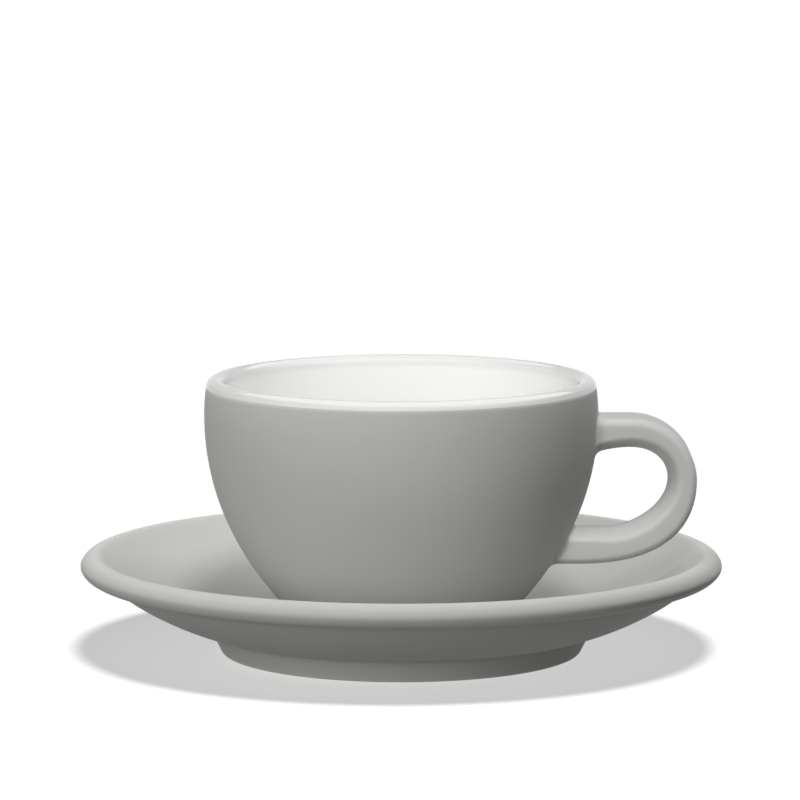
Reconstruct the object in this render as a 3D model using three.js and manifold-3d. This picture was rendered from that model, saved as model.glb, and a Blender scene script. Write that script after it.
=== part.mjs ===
// A flat white cup standing on its saucer, in millimetres with +Z up and the table at z = 0.
// The bowl, its white lining and the saucer are turned forms; the strap handle is lofted
// between two rails and fitted to the side of the bowl.
import * as THREE from "three";
import { mergeVertices } from "three/addons/utils/BufferGeometryUtils.js";
import Module from "manifold-3d";

const wasm = await Module();
wasm.setup();

// Saucer: overall form, lip and wall
const SAUCER_RADIUS = 72.5;
const SAUCER_HEIGHT = 22.5;
const LIP_RADIUS = 2.66;
const LIP_WIDTH = 6.2;
const LIP_DEPTH = 5.85;
// The lip's level crest, the rounding inside it, and the dish that runs down to the floor
const CREST_WIDTH = 1.1;
const BROW_RADIUS = 2.3;
const DISH_SLOPE_DEGREES = 36;
const DISH_PULL = 16;
const FLOOR_PULL = 14;
// How far the underside runs on, out and down, as it leaves the lip and as it meets the foot
const UNDER_LIP_RUN = 3.9;
const UNDER_LIP_FALL = 4.2;
const UNDER_FOOT_RUN = 6.8;
const UNDER_FOOT_RISE = 0.9;

// Saucer: foot ring, base and the well that the cup stands in
const SAUCER_FOOT_RADIUS = 40.6;
const SAUCER_FOOT_HEIGHT = 5.2;
const SAUCER_FOOT_FLARE = 2.6;
const SAUCER_FOOT_WIDTH = 2.8;
const SAUCER_FOOT_EDGE = 0.4;
const SAUCER_RECESS = 2.2;
const SAUCER_BASE = 4.2;
const FLOOR_RUN = 5.0;
const WELL_DEPTH = 1.0;
const WELL_CLEARANCE = 2.4;
const WELL_STEP = 2.0;
const SEAT_GAP = 0.1;

// Bowl of the cup
const CUP_HEIGHT = 55.8;
const BELLY_RADIUS = 44.45;
const BELLY_HEIGHT = 47.4;
const BELLY_PULL = 21.1;
const SHOULDER_RADIUS = 24.4;
const SHOULDER_HEIGHT = 1.7;
const SHOULDER_RUN = 9.7;
const SHOULDER_RISE = 10.1;
const CUP_WALL = 4.1;
const CUP_BASE = 3.6;
const CUP_FOOT_RADIUS = 23.6;
const CUP_FOOT_WIDTH = 3.0;
const CUP_FOOT_EDGE = 0.4;
const CUP_RECESS = 1.4;
const INNER_FILLET = 6.0;

// White lining: where it ends on the outside, and how thick it lies on the clay
const BORDER_DROP = 1.8;
const BORDER_TUCK = 0.5;
const GLAZE = 0.5;
const GLAZE_GAP = 0.1;

// Strap handle: outer rail, thickness and section
const HANDLE_DROP = 8.7;
const HANDLE_HEIGHT = 33.05;
const HANDLE_REACH = 22.1;
const HANDLE_STRAIGHT = 7.3;
const HANDLE_SHOULDER = 14.2;
const OUTER_TURN_IN = 3.8;
const INNER_TURN_OUT = 1.3;
const TOP_THICKNESS = 7.1;
const SIDE_THICKNESS = 6.35;
const FOOT_THICKNESS = 7.7;
const ROOT_SWELL = 1.1;
const HANDLE_WIDTH = 14;
const HANDLE_EDGE = 1.8;
const CROWN_RISE = 2.4;
const CROWN_EDGE = 1.4;
const ROOT_FILLET = 1.5;
const LUTE_GAP = 0.3;
const ROOT_DEPTH = 5.0;

// How full each bend of the handle is, as the length of its curve handles over its span
const OUTER_UPPER_BEND = [0.63, 0.47];
const OUTER_LOWER_BEND = [0.55, 0.73];
const INNER_UPPER_BEND = [0.59, 0.58];
const INNER_LOWER_BEND = [0.54, 0.47];

// Facets
const SPIN_STEPS = 52;
const WALL_STEPS = 8;
const SHORT_STEPS = 3;
const LIP_STEPS = 4;
const ROOT_STEPS = 6;
const BEND_STEPS = 11;
const CROWN_STEPS = 6;
const EDGE_STEPS = 3;
const WELD_DISTANCE = 1e-4;

// Heights that follow from the sizes above
const SEAT_Z = SAUCER_RECESS + SAUCER_BASE;
const FLOOR_Z = SEAT_Z + WELL_DEPTH;
const CUP_Z = SEAT_Z + SEAT_GAP;
const BORDER_Z = CUP_HEIGHT - BORDER_DROP;
const BORDER_RADIUS = BELLY_RADIUS - BORDER_TUCK;
const CUP_FLOOR_Z = CUP_RECESS + CUP_BASE;

const GREY = new THREE.Color().setRGB(0.68, 0.68, 0.65, THREE.SRGBColorSpace);
const WHITE = new THREE.Color().setRGB(0.95, 0.95, 0.94, THREE.SRGBColorSpace);

// Matt grey glaze of the outside and the saucer.
function greyGlaze() {
  return new THREE.MeshStandardMaterial({ color: GREY, roughness: 0.55, metalness: 0 });
}

// Glossy white glaze of the lining.
function whiteGlaze() {
  return new THREE.MeshStandardMaterial({ color: WHITE, roughness: 0.12, metalness: 0 });
}

function point(radius, height) {
  return new THREE.Vector2(radius, height);
}

// Spins a profile of (radius, height) points about the vertical axis.
function spin(profile) {
  const geometry = new THREE.LatheGeometry(profile, SPIN_STEPS);
  return geometry.rotateX(Math.PI / 2);
}

// The line that lies a set distance to the left of a profile, square to it.
function offset(profile, distance) {
  const last = profile.length - 1;
  return profile.map((here, i) => {
    const before = profile[Math.max(i - 1, 0)];
    const after = profile[Math.min(i + 1, last)];
    const along = after.clone().sub(before).normalize();
    return point(here.x - along.y * distance, here.y + along.x * distance);
  });
}

// A closed triangle mesh as a solid that can be cut.
function toSolid(geometry) {
  const bare = geometry.clone();
  bare.deleteAttribute("normal");
  bare.deleteAttribute("uv");
  const merged = mergeVertices(bare, WELD_DISTANCE);
  const vertProperties = new Float32Array(merged.attributes.position.array);
  const triVerts = new Uint32Array(merged.index.array);
  return new wasm.Manifold(new wasm.Mesh({ numProp: 3, vertProperties, triVerts }));
}

// The triangles of a solid as a geometry with flat faces.
function toGeometry(solid) {
  const mesh = solid.getMesh();
  const geometry = new THREE.BufferGeometry();
  geometry.setAttribute("position", new THREE.BufferAttribute(mesh.vertProperties, 3));
  geometry.setIndex(new THREE.BufferAttribute(mesh.triVerts, 1));
  geometry.computeVertexNormals();
  return geometry;
}

// Outside of the bowl from its shoulder, over the belly, to the border of the lining.
function bowlOutside() {
  const belly = point(BELLY_RADIUS, BELLY_HEIGHT);
  const side = new THREE.CubicBezierCurve(
    point(SHOULDER_RADIUS, SHOULDER_HEIGHT),
    point(SHOULDER_RADIUS + SHOULDER_RUN, SHOULDER_HEIGHT + SHOULDER_RISE),
    point(BELLY_RADIUS, BELLY_HEIGHT - BELLY_PULL),
    belly,
  );
  const brink = new THREE.QuadraticBezierCurve(
    belly,
    point(BELLY_RADIUS, (BELLY_HEIGHT + BORDER_Z) / 2),
    point(BORDER_RADIUS, BORDER_Z),
  );
  return [...side.getPoints(WALL_STEPS), ...brink.getPoints(SHORT_STEPS).slice(1)];
}

// Glazed inside of the cup from the middle of its floor, up the wall and over the lip.
function bowlInside(outside) {
  const wall = offset(outside, CUP_WALL);
  const start = wall.findIndex((p) => p.y > CUP_FLOOR_Z + INNER_FILLET);
  const side = wall.slice(start, -1);
  const [first, second] = side;
  const lean = (second.x - first.x) / (second.y - first.y);
  const corner = first.x - lean * (first.y - CUP_FLOOR_Z);
  const floor = new THREE.QuadraticBezierCurve(
    point(0, CUP_FLOOR_Z),
    point(corner, CUP_FLOOR_Z),
    first,
  );
  const lipRadius = BORDER_RADIUS - CUP_WALL / 2;
  const lip = new THREE.EllipseCurve(
    lipRadius, BORDER_Z, CUP_WALL / 2, BORDER_DROP, Math.PI, 0, true,
  );
  return [...floor.getPoints(SHORT_STEPS + 1), ...side.slice(1), ...lip.getPoints(2 * LIP_STEPS)];
}

// The line a set depth below the glazed inside, from the axis to level with the border.
function underGlaze(inside, depth) {
  const line = offset(inside, -depth);
  line[0].set(0, CUP_FLOOR_Z - depth);
  line.at(-1).set(BORDER_RADIUS - depth, BORDER_Z);
  return line;
}

// Profile of the clay bowl: recessed base, foot ring, outside, and the bed of the lining.
function bowlProfile(outside, inside) {
  const ringInside = CUP_FOOT_RADIUS - CUP_FOOT_WIDTH;
  const bed = underGlaze(inside, GLAZE + GLAZE_GAP).reverse();
  const edge = outside.at(-1).clone();
  edge.y -= GLAZE_GAP;
  return [
    point(0, CUP_RECESS),
    point(ringInside - CUP_RECESS + CUP_FOOT_EDGE, CUP_RECESS),
    point(ringInside, CUP_FOOT_EDGE),
    point(ringInside + CUP_FOOT_EDGE, 0),
    point(CUP_FOOT_RADIUS - CUP_FOOT_EDGE, 0),
    point(CUP_FOOT_RADIUS, CUP_FOOT_EDGE),
    point(CUP_FOOT_RADIUS, (CUP_FOOT_EDGE + SHOULDER_HEIGHT) / 2),
    ...outside.slice(0, -1),
    edge,
    point(bed[0].x, edge.y),
    ...bed,
  ];
}

// Profile of the lining: its glossy face, and its back that lies close to the clay.
function linerProfile(inside) {
  return [...underGlaze(inside, GLAZE), ...[...inside].reverse()];
}

// Radius of the bowl's outside, and its lean, at a height.
function bowlAt(outside, height) {
  const top = outside.findIndex((p) => p.y >= height);
  const i = Math.min(Math.max(top, 1), outside.length - 1);
  const low = outside[i - 1];
  const high = outside[i];
  const lean = (high.x - low.x) / (high.y - low.y);
  return { radius: low.x + lean * (height - low.y), lean };
}

// A bend of the handle that leaves one end level and arrives at the other end upright.
function bend(level, upright, fullness) {
  const run = (upright.x - level.x) * fullness[0];
  const rise = (level.y - upright.y) * fullness[1];
  return new THREE.CubicBezierCurve(
    level,
    point(level.x + run, level.y),
    point(upright.x, upright.y + rise),
    upright,
  );
}

// Pairs of points on the outer and inner rail of the strap, from its upper to its lower root.
function handleRails(outside) {
  const top = CUP_HEIGHT - HANDLE_DROP;
  const bottom = top - HANDLE_HEIGHT;
  const shoulder = BELLY_RADIUS + HANDLE_STRAIGHT;
  const outerTop = point(shoulder, top);
  const innerTop = point(shoulder, top - TOP_THICKNESS);
  const outerSide = point(BELLY_RADIUS + HANDLE_REACH, top - HANDLE_SHOULDER);
  const innerSide = point(outerSide.x - SIDE_THICKNESS, outerSide.y);
  const outerFoot = point(BELLY_RADIUS - OUTER_TURN_IN, bottom);
  const innerFoot = point(BELLY_RADIUS + INNER_TURN_OUT, bottom + FOOT_THICKNESS);
  const pairs = [];

  // Upper arm: level on top, swelling below towards the bowl
  const upperRoot = bowlAt(outside, (outerTop.y + innerTop.y) / 2).radius;
  const upperStart = upperRoot - ROOT_DEPTH;
  const swellSpan = shoulder - upperRoot;
  for (const x of rootStations(upperStart, upperRoot, shoulder)) {
    const swell = ROOT_SWELL * ((shoulder - x) / swellSpan) ** 2;
    pairs.push([point(x, top), point(x, innerTop.y - swell)]);
  }
  const upper = [
    bend(outerTop, outerSide, OUTER_UPPER_BEND),
    bend(innerTop, innerSide, INNER_UPPER_BEND),
  ];
  const lower = [
    bend(outerFoot, outerSide, [...OUTER_LOWER_BEND].reverse()),
    bend(innerFoot, innerSide, [...INNER_LOWER_BEND].reverse()),
  ];
  for (let i = 0; i <= BEND_STEPS; i++) {
    pairs.push(upper.map((rail) => rail.getPoint(i / BEND_STEPS)));
  }
  for (let i = 1; i <= BEND_STEPS; i++) {
    pairs.push(lower.map((rail) => rail.getPoint(1 - i / BEND_STEPS)));
  }

  // Lower arm: both rails run level into the bowl, each from where its bend ends
  const outerRoot = bowlAt(outside, outerFoot.y).radius;
  const innerRoot = bowlAt(outside, innerFoot.y).radius;
  const outerRun = rootStations(outerRoot - ROOT_DEPTH, outerRoot, outerFoot.x).reverse();
  const innerRun = rootStations(innerRoot - ROOT_DEPTH, innerRoot, innerFoot.x).reverse();
  outerRun.forEach((x, i) => {
    pairs.push([point(x, outerFoot.y), point(innerRun[i], innerFoot.y)]);
  });
  return pairs;
}

// Places along a straight arm, from inside the bowl's wall outward, close-set at the fillet.
function rootStations(start, root, end) {
  const stations = [start];
  for (let i = 0; i < ROOT_STEPS; i++) {
    stations.push(root + (end - root) * (i / ROOT_STEPS) ** 2);
  }
  return stations;
}

// Section of the strap at one pair of rail points: flat outside, soft edges, crowned inside.
function strapSection(thickness) {
  const half = HANDLE_WIDTH / 2;
  const flat = half - HANDLE_EDGE;
  const edge = new THREE.EllipseCurve(
    flat, thickness - HANDLE_EDGE, HANDLE_EDGE, HANDLE_EDGE, 0, Math.PI / 2, false,
  );
  const rightEdge = edge.getPoints(EDGE_STEPS);
  const leftEdge = rightEdge.map((p) => point(-p.x, p.y)).reverse();
  const crownRadius = (half ** 2 + CROWN_RISE ** 2) / (2 * CROWN_RISE);
  const side = thickness - HANDLE_EDGE - CROWN_RISE;
  const corner = Math.min(CROWN_EDGE, side);
  const spread = Math.asin(half / crownRadius) - corner / crownRadius;
  const crown = new THREE.EllipseCurve(
    0, crownRadius, crownRadius, crownRadius, 1.5 * Math.PI - spread, 1.5 * Math.PI + spread, false,
  ).getPoints(CROWN_STEPS);
  const leftTurn = new THREE.QuadraticBezierCurve(
    point(-half, CROWN_RISE + corner),
    point(-half, CROWN_RISE),
    crown[0],
  ).getPoints(EDGE_STEPS);
  const rightTurn = leftTurn.map((p) => point(-p.x, p.y)).reverse();
  return [...rightEdge, ...leftEdge, ...leftTurn, ...crown.slice(1, -1), ...rightTurn];
}

// How far the strap flares at a point beside the bowl, to make a fillet round its root.
function rootFlare(outside, place) {
  const wall = bowlAt(outside, place.z);
  const reach = Math.hypot(place.x, place.y) - wall.radius;
  const distance = reach / Math.hypot(1, wall.lean);
  const short = Math.min(Math.max(ROOT_FILLET - distance, 0), ROOT_FILLET);
  return ROOT_FILLET - Math.sqrt(ROOT_FILLET ** 2 - short ** 2);
}

// Lofts the strap through its sections, flares its roots, and fits it to the bowl.
function handleGeometry(outside) {
  const positions = [];
  const index = [];
  const rings = handleRails(outside).map(([outer, inner]) => {
    const across = outer.clone().sub(inner);
    const thickness = across.length();
    across.normalize();
    const section = strapSection(thickness);
    const middle = point(0, thickness / 2);
    return section.map((p) => {
      const place = (q) => new THREE.Vector3(inner.x + across.x * q.y, q.x, inner.y + across.y * q.y);
      const flare = rootFlare(outside, place(p));
      const out = p.clone().sub(middle).normalize();
      return place(p.clone().addScaledVector(out, flare));
    });
  });
  const count = rings[0].length;
  rings.flat().forEach((p) => positions.push(p.x, p.y, p.z));
  for (let s = 0; s + 1 < rings.length; s++) {
    for (let i = 0; i < count; i++) {
      const a = s * count + i;
      const b = s * count + ((i + 1) % count);
      index.push(a, b, a + count, b, b + count, a + count);
    }
  }
  const lastRing = (rings.length - 1) * count;
  for (let i = 1; i + 1 < count; i++) {
    index.push(i + 1, i, 0);
    index.push(lastRing, lastRing + i, lastRing + i + 1);
  }
  const geometry = new THREE.BufferGeometry();
  geometry.setAttribute("position", new THREE.Float32BufferAttribute(positions, 3));
  geometry.setIndex(index);
  const skin = offset(outside, -LUTE_GAP);
  const body = [point(0, skin[0].y), ...skin, point(0, skin.at(-1).y)];
  return toGeometry(toSolid(geometry).subtract(toSolid(spin(body))));
}

// Profile of the saucer, from the middle of its recessed base, out to the lip and back.
function saucerProfile() {
  const ringInside = SAUCER_FOOT_RADIUS - SAUCER_FOOT_WIDTH;
  const crease = point(SAUCER_RADIUS - LIP_WIDTH, SAUCER_HEIGHT - LIP_DEPTH);
  const lipCentre = point(SAUCER_RADIUS - LIP_RADIUS, SAUCER_HEIGHT - LIP_RADIUS);
  const footTop = point(SAUCER_FOOT_RADIUS + SAUCER_FOOT_FLARE, SAUCER_FOOT_HEIGHT);

  const underside = new THREE.CubicBezierCurve(
    footTop,
    point(footTop.x + UNDER_FOOT_RUN, footTop.y + UNDER_FOOT_RISE),
    point(crease.x - UNDER_LIP_RUN, crease.y - UNDER_LIP_FALL),
    crease,
  );
  const under = underside.getPoints(WALL_STEPS);
  const lip = new THREE.EllipseCurve(
    lipCentre.x, lipCentre.y, LIP_RADIUS, LIP_RADIUS, -Math.PI / 2, Math.PI / 2, false,
  );

  // Upper face: a level crest, a rounded brow, and a dish that flattens into the floor
  const dishSlope = THREE.MathUtils.degToRad(DISH_SLOPE_DEGREES);
  const brow = new THREE.EllipseCurve(
    lipCentre.x - CREST_WIDTH, SAUCER_HEIGHT - BROW_RADIUS, BROW_RADIUS, BROW_RADIUS,
    Math.PI / 2, Math.PI / 2 + dishSlope, false,
  );
  const browEnd = brow.getPoint(1);
  const downhill = point(-Math.cos(dishSlope), -Math.sin(dishSlope));
  const wellRadius = CUP_FOOT_RADIUS + WELL_CLEARANCE;
  const floorEdge = point(wellRadius + FLOOR_RUN, FLOOR_Z);
  const dish = new THREE.CubicBezierCurve(
    browEnd,
    browEnd.clone().addScaledVector(downhill, DISH_PULL),
    point(floorEdge.x + FLOOR_PULL, FLOOR_Z),
    floorEdge,
  );
  const wellStep = new THREE.CubicBezierCurve(
    point(wellRadius, FLOOR_Z),
    point(wellRadius - WELL_STEP / 2, FLOOR_Z),
    point(wellRadius - WELL_STEP / 2, SEAT_Z),
    point(wellRadius - WELL_STEP, SEAT_Z),
  );
  return [
    point(0, SAUCER_RECESS),
    point(ringInside - SAUCER_RECESS, SAUCER_RECESS),
    point(ringInside - SAUCER_FOOT_EDGE, SAUCER_FOOT_EDGE),
    point(ringInside, 0),
    point(SAUCER_FOOT_RADIUS - SAUCER_FOOT_EDGE, 0),
    point(SAUCER_FOOT_RADIUS, SAUCER_FOOT_EDGE),
    ...under,
    ...lip.getPoints(2 * LIP_STEPS),
    ...brow.getPoints(SHORT_STEPS),
    ...dish.getPoints(WALL_STEPS).slice(1),
    ...wellStep.getPoints(SHORT_STEPS + 1),
    point(0, SEAT_Z),
  ];
}

function piece(name, geometry, material) {
  const mesh = new THREE.Mesh(geometry, material);
  mesh.name = name;
  return mesh;
}

const outside = bowlOutside();
const inside = bowlInside(outside);

const cup = new THREE.Group();
cup.position.z = CUP_Z;
cup.add(
  piece("cup_bowl", spin(bowlProfile(outside, inside)), greyGlaze()),
  piece("cup_liner", spin(linerProfile(inside)), whiteGlaze()),
  piece("cup_handle", handleGeometry(outside), greyGlaze()),
);

const cupAndSaucer = new THREE.Group();
cupAndSaucer.add(piece("saucer", spin(saucerProfile()), greyGlaze()), cup);

export default cupAndSaucer;
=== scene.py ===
# %% [markdown]
# # A flat white cup on its saucer
# The real set is slip-cast stoneware: a round-bellied cup with a thick lip, glossy white inside and
# soft matt grey outside, a flat strap handle luted to its side, and a saucer that stands on a foot ring.
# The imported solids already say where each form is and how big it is. This lesson makes each form
# again as a smooth surface at that place, and gives it its glaze. Sizes are in millimetres until a
# mesh is made, because a potter thinks in millimetres; Blender gets metres.

# %% Load the frame
import math
from bisect import bisect_left

import bmesh
import bpy
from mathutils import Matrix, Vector


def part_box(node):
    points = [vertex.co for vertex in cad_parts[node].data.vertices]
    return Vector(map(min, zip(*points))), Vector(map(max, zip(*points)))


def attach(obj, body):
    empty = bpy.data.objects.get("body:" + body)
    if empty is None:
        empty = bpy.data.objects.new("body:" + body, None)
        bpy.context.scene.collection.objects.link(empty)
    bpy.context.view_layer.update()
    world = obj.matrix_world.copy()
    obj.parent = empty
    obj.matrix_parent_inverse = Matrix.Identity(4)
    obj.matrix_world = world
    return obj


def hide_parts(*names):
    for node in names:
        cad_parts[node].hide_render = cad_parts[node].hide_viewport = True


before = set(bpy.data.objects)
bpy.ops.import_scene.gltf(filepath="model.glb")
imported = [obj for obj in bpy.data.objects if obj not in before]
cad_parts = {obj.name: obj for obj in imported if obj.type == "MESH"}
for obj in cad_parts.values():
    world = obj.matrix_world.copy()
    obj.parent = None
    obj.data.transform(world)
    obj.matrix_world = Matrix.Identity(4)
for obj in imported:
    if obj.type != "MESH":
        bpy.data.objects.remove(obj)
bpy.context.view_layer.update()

MM = 0.001
CM = 0.01


def box_in_mm(node):
    """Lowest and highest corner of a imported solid, in millimetres."""
    low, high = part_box(node)
    return low / MM, high / MM


# %% [markdown]
# ## Drawing a profile
# A thrown or turned form is one line, drawn from the axis outwards and back, and spun. The line is made
# of straight runs, curves and arcs. It could be traced by hand in the viewport, but a rule keeps every
# curve fair and lets one size change without redrawing the rest. Real ceramic has no dead-sharp corner,
# because glaze rounds it, so two runs are always joined by a small rounding.

# %% Helpers that draw runs of a profile
TURN_STEPS = 7


def at(radius, height):
    """One point of a profile: its distance from the axis and its height."""
    return Vector((radius, height))


def bezier(controls, count):
    """A Bezier curve through its end controls, by repeated halfway points."""
    run = []
    for i in range(count + 1):
        level = [Vector(control) for control in controls]
        while len(level) > 1:
            level = [a.lerp(b, i / count) for a, b in zip(level, level[1:])]
        run.append(level[0])
    return run


def arc(centre, across, up, start, end, count):
    """Part of an ellipse, from a start to an end angle in degrees."""
    run = []
    for i in range(count + 1):
        angle = math.radians(start + (end - start) * i / count)
        run.append(at(centre.x + across * math.cos(angle), centre.y + up * math.sin(angle)))
    return run


def line(start, end, spacing=1.0):
    """A straight run with points close enough together for even shading."""
    count = max(2, math.ceil((end - start).length / spacing))
    return [start.lerp(end, i / count) for i in range(count + 1)]


def heading(degrees):
    """A step of one millimetre in a direction of the profile, in degrees above straight out."""
    return at(math.cos(math.radians(degrees)), math.sin(math.radians(degrees)))


def beside(run, distance):
    """The line that lies a set distance to the left of a run, square to it."""
    last = len(run) - 1
    moved = []
    for i, here in enumerate(run):
        along = (run[min(i + 1, last)] - run[max(i - 1, 0)]).normalized()
        moved.append(at(here.x - along.y * distance, here.y + along.x * distance))
    return moved


def shorten(run, reach):
    """Cuts a length off the end of a run."""
    run = list(run)
    while len(run) > 2 and (run[-1] - run[-2]).length <= reach:
        reach -= (run[-1] - run[-2]).length
        run.pop()
    run[-1] = run[-1] + (run[-2] - run[-1]).normalized() * reach
    return run


def joined(first, second, rounding):
    """Joins two runs that meet, with their corner rounded over a length on each side."""
    corner = first[-1]
    first = shorten(first, rounding)
    second = shorten(second[::-1], rounding)[::-1]
    turn = bezier([first[-1], corner, second[0]], TURN_STEPS)
    return first[:-1] + turn + second[1:]


print("a quarter circle of 10 mm ends at", tuple(arc(at(0, 0), 10, 10, 0, 90, count=8)[-1]))

# %% [markdown]
# ## The matt and the gloss glaze
# Glaze is a thin coat of glass. It is never one flat colour: it clouds where it lay thicker in the kiln,
# carries a fine grain, and changes where it ran thin over an edge or settled in a corner. The grey breaks
# a little paler on an edge. The white is painted greyer on the lip: partly the clay showing through the
# thin coat, partly painted shade for the dimmer light there. Painting that by hand would tie it to one
# mesh, and an image would be too coarse close up, so noise textures on Object coordinates draw it at its
# true scale. The two glazes share the effect, so it is one shader group with named inputs, and each
# material sets its own values.

# %% A helper that builds a node and sets its plain values


def node(tree, kind, links=None, values=None, **settings):
    """Adds a node; links and values are given for its input sockets by name or number."""
    made = tree.nodes.new(kind)
    for name, setting in settings.items():
        setattr(made, name, setting)
    for socket, value in (values or {}).items():
        made.inputs[socket].default_value = value
    for socket, source in (links or {}).items():
        tree.links.new(source, made.inputs[socket])
    return made


def maths(tree, operation, first, second):
    """A Math node whose two inputs are sockets or numbers."""
    made = node(tree, "ShaderNodeMath", operation=operation)
    for socket, source in zip(made.inputs, (first, second)):
        if isinstance(source, (int, float)):
            socket.default_value = source
        else:
            tree.links.new(source, socket)
    return made.outputs[0]


def swing(tree, noise, depth):
    """Noise between 0 and 1, turned into a swing about nothing that is depth wide."""
    return maths(tree, "MULTIPLY", maths(tree, "SUBTRACT", noise, 0.5), depth)


def new_group(name, kind, inputs, outputs):
    """An empty node group with its named sockets, and its input and output nodes."""
    tree = bpy.data.node_groups.new(name, kind)
    for label, socket_type, value in inputs:
        socket = tree.interface.new_socket(label, in_out="INPUT", socket_type=socket_type)
        if value is not None:
            socket.default_value = value
    for label, socket_type in outputs:
        tree.interface.new_socket(label, in_out="OUTPUT", socket_type=socket_type)
    return tree, tree.nodes.new("NodeGroupInput"), tree.nodes.new("NodeGroupOutput")


print("node helpers ready")

# %% The shared glaze group
PINHOLE_SCALE = 0.32
PINHOLE_CORE = 0.04
PINHOLE_RIM = 0.13
PINHOLE_SHADE = -1.2
PINHOLE_DENT = -0.8

glaze_group, glaze_in, glaze_out = new_group(
    "kiln_glaze",
    "ShaderNodeTree",
    [
        ("Vector", "NodeSocketVector", None),
        ("Colour", "NodeSocketColor", None),
        ("Edge", "NodeSocketFloat", 0.0),
        ("Cloud Scale", "NodeSocketFloat", 60.0),
        ("Cloud Depth", "NodeSocketFloat", 0.04),
        ("Grain Scale", "NodeSocketFloat", 1100.0),
        ("Grain Depth", "NodeSocketFloat", 0.03),
        # Paler on edges and darker in corners as glaze breaks; the negative value on the white lip is
        # partly painted shade.
        ("Edge Break", "NodeSocketFloat", 0.10),
        ("Roughness", "NodeSocketFloat", 0.5),
        ("Roughness Depth", "NodeSocketFloat", 0.12),
    ],
    [("Colour", "NodeSocketColor"), ("Roughness", "NodeSocketFloat"), ("Height", "NodeSocketFloat")],
)


def build_kiln_glaze(tree, given, result):
    """Clouding, grain, pinholes and edge breaks, with painted shade on the white lip, as colour, roughness
    and height.
    """
    clouds = node(
        tree, "ShaderNodeTexNoise",
        links={"Vector": given["Vector"], "Scale": given["Cloud Scale"]},
        values={"Detail": 3.0, "Roughness": 0.55},
    ).outputs["Fac"]
    grain = node(
        tree, "ShaderNodeTexNoise",
        links={"Vector": given["Vector"], "Scale": given["Grain Scale"]},
        values={"Detail": 2.0, "Roughness": 0.6},
    ).outputs["Fac"]
    pinhole_scale = maths(tree, "MULTIPLY", given["Grain Scale"], PINHOLE_SCALE)
    pinholes = node(
        tree, "ShaderNodeTexVoronoi",
        links={"Vector": given["Vector"], "Scale": pinhole_scale},
    ).outputs["Distance"]
    pinhole = node(
        tree, "ShaderNodeMapRange",
        links={"Value": pinholes},
        values={"From Min": PINHOLE_CORE, "From Max": PINHOLE_RIM, "To Min": 1.0, "To Max": 0.0},
        interpolation_type="SMOOTHSTEP",
    ).outputs["Result"]

    cloud_shift = swing(tree, clouds, given["Cloud Depth"])
    grain_shift = swing(tree, grain, given["Grain Depth"])
    pore_depth = maths(tree, "MULTIPLY", given["Grain Depth"], PINHOLE_SHADE)
    pore_shift = maths(tree, "MULTIPLY", pinhole, pore_depth)
    # The edge term: glaze breaking on the grey; on the white lip, thin glaze and painted shade.
    edge_shift = maths(tree, "MULTIPLY", given["Edge"], given["Edge Break"])
    shift = maths(tree, "ADD", maths(tree, "ADD", cloud_shift, grain_shift), pore_shift)
    level = maths(tree, "ADD", maths(tree, "ADD", shift, edge_shift), 1.0)
    colour = node(
        tree, "ShaderNodeVectorMath",
        links={0: given["Colour"], "Scale": level},
        operation="SCALE",
    ).outputs["Vector"]
    tree.links.new(colour, result["Colour"])

    rough_shift = swing(tree, clouds, given["Roughness Depth"])
    tree.links.new(maths(tree, "ADD", given["Roughness"], rough_shift), result["Roughness"])
    dent = maths(tree, "MULTIPLY", pinhole, PINHOLE_DENT)
    tree.links.new(maths(tree, "ADD", grain, dent), result["Height"])


build_kiln_glaze(glaze_group, glaze_in.outputs, glaze_out.inputs)
print("kiln_glaze has", len(glaze_group.nodes), "nodes")

# %% [markdown]
# ## The bare ring under a foot
# Glaze melts in the kiln, so the potter wipes it off wherever a pot stands on the shelf. The foot rings
# of the cup and of the saucer are therefore bare, pale and dry clay. This could be a separate piece, but
# on the real thing it is the same clay, so a mask by height shows the clay through the glaze. A little
# noise moves the line, as a wiping sponge does.

# %% The shared bare-clay mask
WIPE_WANDER = 0.3
WIPE_BLUR = 0.04

bare_group, bare_in, bare_out = new_group(
    "wiped_foot",
    "ShaderNodeTree",
    [("Vector", "NodeSocketVector", None), ("Line Height", "NodeSocketFloat", 0.0)],
    [("Mask", "NodeSocketFloat")],
)


def build_wiped_foot(tree, given, result):
    """One below the wiped line, nothing above it, with a sponged edge."""
    height = node(tree, "ShaderNodeSeparateXYZ", links={0: given["Vector"]}).outputs["Z"]
    sponge = node(
        tree, "ShaderNodeTexNoise",
        links={"Vector": given["Vector"]},
        values={"Scale": 420.0, "Detail": 2.0},
    ).outputs["Fac"]
    wander = swing(tree, sponge, WIPE_WANDER * MM)
    above = maths(tree, "SUBTRACT", maths(tree, "ADD", height, wander), given["Line Height"])
    mask = node(
        tree, "ShaderNodeMapRange",
        links={"Value": above},
        values={"From Min": -WIPE_BLUR * MM, "From Max": WIPE_BLUR * MM, "To Min": 1.0, "To Max": 0.0},
    )
    tree.links.new(mask.outputs["Result"], result["Mask"])


build_wiped_foot(bare_group, bare_in.outputs, bare_out.inputs)
print("wiped_foot has", len(bare_group.nodes), "nodes")

# %% [markdown]
# ## Mixing the materials
# Each finish is a Principled BSDF. The grey outside is fired to a soft matt surface that spreads light
# wide; the white lining is fired to gloss, so it mirrors the studio lamps in thin bright lines on the
# lip. What varies over the surface comes from the shared groups, and plain numbers sit on the shader.

# %% The grey and white glazes
GREY = (0.469, 0.471, 0.456, 1.0)
WHITE = (0.900, 0.897, 0.888, 1.0)
CLAY = (0.660, 0.615, 0.540, 1.0)
MATT_ROUGHNESS = 0.75
MATT_SHINE = 0.2
CLAY_ROUGHER = 0.3


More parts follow.
